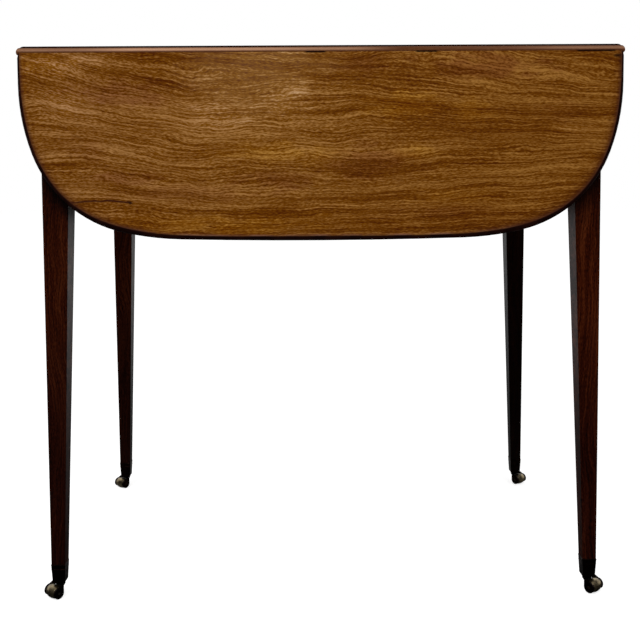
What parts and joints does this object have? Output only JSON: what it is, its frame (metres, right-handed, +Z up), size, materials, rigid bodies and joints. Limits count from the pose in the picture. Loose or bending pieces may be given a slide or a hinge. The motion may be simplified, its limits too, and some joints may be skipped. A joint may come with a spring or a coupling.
{
  "type": "pembroke table",
  "caption": "Small wooden drop-leaf occasional table with rounded hanging leaves on rule joints, swinging fly brackets, an end drawer and tapered legs on castors.",
  "frame": {"origin": "centre of the table's footprint on the floor, leaves hanging", "axes": "+X along the leaves towards the drawer end, +Y from the front leaf to the back leaf, +Z up"},
  "size_m": [0.752, 0.478, 0.708],
  "materials": {
    "top_wood": "polished golden brown mahogany with long grain",
    "leg_wood": "polished dark red-brown mahogany",
    "rail_wood": "waxed brown hardwood",
    "inner_wood": "bare pale softwood",
    "iron": "dark wrought iron",
    "brass": "aged polished brass",
    "castor_metal": "blackened brass",
    "castor_brass": "worn brass"
  },
  "bodies": {
    "frame": {"top_board": "top_wood", "leg_front_left": "leg_wood", "leg_front_right": "leg_wood", "leg_back_left": "leg_wood", "leg_back_right": "leg_wood", "front_inner_rail": "rail_wood", "back_inner_rail": "rail_wood", "front_fly_rail": "rail_wood", "back_fly_rail": "rail_wood", "front_rail_ends": "rail_wood", "back_rail_ends": "rail_wood", "drawer_top_rail": "leg_wood", "drawer_bottom_rail": "leg_wood", "dummy_rail": "leg_wood", "dummy_beads": "leg_wood", "dummy_knobs": "brass", "drawer_runners": "inner_wood", "drawer_kickers": "inner_wood", "drawer_stops": "inner_wood", "corner_blocks": "inner_wood", "hinge_top_flaps": "iron", "hinge_top_screws": "iron", "hinge_pins": "iron", "fly_pins": "iron", "top_screws": "iron", "castor_cup_front_left": "castor_metal", "castor_cup_front_right": "castor_metal", "castor_cup_back_left": "castor_metal", "castor_cup_back_right": "castor_metal"},
    "front_leaf": {"front_leaf": "top_wood", "front_leaf_flaps": "iron", "front_leaf_screws": "iron"},
    "back_leaf": {"back_leaf": "top_wood", "back_leaf_flaps": "iron", "back_leaf_screws": "iron"},
    "drawer": {"drawer_front": "leg_wood", "drawer_front_side": "inner_wood", "drawer_back_side": "inner_wood", "drawer_back": "inner_wood", "drawer_bottom": "inner_wood", "drawer_beads": "leg_wood", "drawer_knobs": "brass"},
    "front_left_fly": {"front_left_fly": "rail_wood"},
    "castor_front_left": {"castor_horn_front_left": "castor_metal", "castor_axle_front_left": "iron"},
    "wheel_front_left": {"castor_wheel_front_left": "castor_brass"},
    "front_right_fly": {"front_right_fly": "rail_wood"},
    "castor_front_right": {"castor_horn_front_right": "castor_metal", "castor_axle_front_right": "iron"},
    "wheel_front_right": {"castor_wheel_front_right": "castor_brass"},
    "back_left_fly": {"back_left_fly": "rail_wood"},
    "castor_back_left": {"castor_horn_back_left": "castor_metal", "castor_axle_back_left": "iron"},
    "wheel_back_left": {"castor_wheel_back_left": "castor_brass"},
    "back_right_fly": {"back_right_fly": "rail_wood"},
    "castor_back_right": {"castor_horn_back_right": "castor_metal", "castor_axle_back_right": "iron"},
    "wheel_back_right": {"castor_wheel_back_right": "castor_brass"}
  },
  "joints": [
    {"name": "front_leaf_hinge", "type": "hinge", "parent": "frame", "child": "front_leaf", "pos_m": [0, -0.2302, 0.6992], "axis": [-1, 0, 0], "range_deg": [0, 90]},
    {"name": "back_leaf_hinge", "type": "hinge", "parent": "frame", "child": "back_leaf", "pos_m": [0, 0.2302, 0.6992], "axis": [1, 0, 0], "range_deg": [0, 90]},
    {"name": "drawer_slide", "type": "slide", "parent": "frame", "child": "drawer", "axis": [1, 0, 0], "range_m": [0, 0.36]},
    {"name": "front_left_fly_hinge", "type": "hinge", "parent": "frame", "child": "front_left_fly", "pos_m": [-0.062, -0.204, 0.639], "axis": [0, 0, 1], "range_deg": [0, 3]},
    {"name": "castor_front_left_swivel", "type": "hinge", "parent": "frame", "child": "castor_front_left", "pos_m": [-0.3462, -0.2062, 0.0182], "axis": [0, 0, 1], "continuous": true},
    {"name": "wheel_front_left_roll", "type": "hinge", "parent": "castor_front_left", "child": "wheel_front_left", "pos_m": [-0.35263, -0.21386, 0.0084], "axis": [0.766, -0.6428, 0], "continuous": true},
    {"name": "front_right_fly_hinge", "type": "hinge", "parent": "frame", "child": "front_right_fly", "pos_m": [0.062, -0.204, 0.639], "axis": [0, 0, -1], "range_deg": [0, 3]},
    {"name": "castor_front_right_swivel", "type": "hinge", "parent": "frame", "child": "castor_front_right", "pos_m": [0.3462, -0.2062, 0.0182], "axis": [0, 0, 1], "continuous": true},
    {"name": "wheel_front_right_roll", "type": "hinge", "parent": "castor_front_right", "child": "wheel_front_right", "pos_m": [0.35263, -0.21386, 0.0084], "axis": [0.766, 0.6428, 0], "continuous": true},
    {"name": "back_left_fly_hinge", "type": "hinge", "parent": "frame", "child": "back_left_fly", "pos_m": [-0.062, 0.204, 0.639], "axis": [0, 0, -1], "range_deg": [0, 3]},
    {"name": "castor_back_left_swivel", "type": "hinge", "parent": "frame", "child": "castor_back_left", "pos_m": [-0.3462, 0.2062, 0.0182], "axis": [0, 0, 1], "continuous": true},
    {"name": "wheel_back_left_roll", "type": "hinge", "parent": "castor_back_left", "child": "wheel_back_left", "pos_m": [-0.35263, 0.19854, 0.0084], "axis": [0.766, -0.6428, 0], "continuous": true},
    {"name": "back_right_fly_hinge", "type": "hinge", "parent": "frame", "child": "back_right_fly", "pos_m": [0.062, 0.204, 0.639], "axis": [0, 0, 1], "range_deg": [0, 3]},
    {"name": "castor_back_right_swivel", "type": "hinge", "parent": "frame", "child": "castor_back_right", "pos_m": [0.3462, 0.2062, 0.0182], "axis": [0, 0, 1], "continuous": true},
    {"name": "wheel_back_right_roll", "type": "hinge", "parent": "castor_back_right", "child": "wheel_back_right", "pos_m": [0.35263, 0.19854, 0.0084], "axis": [0.766, 0.6428, 0], "continuous": true}
  ]
}
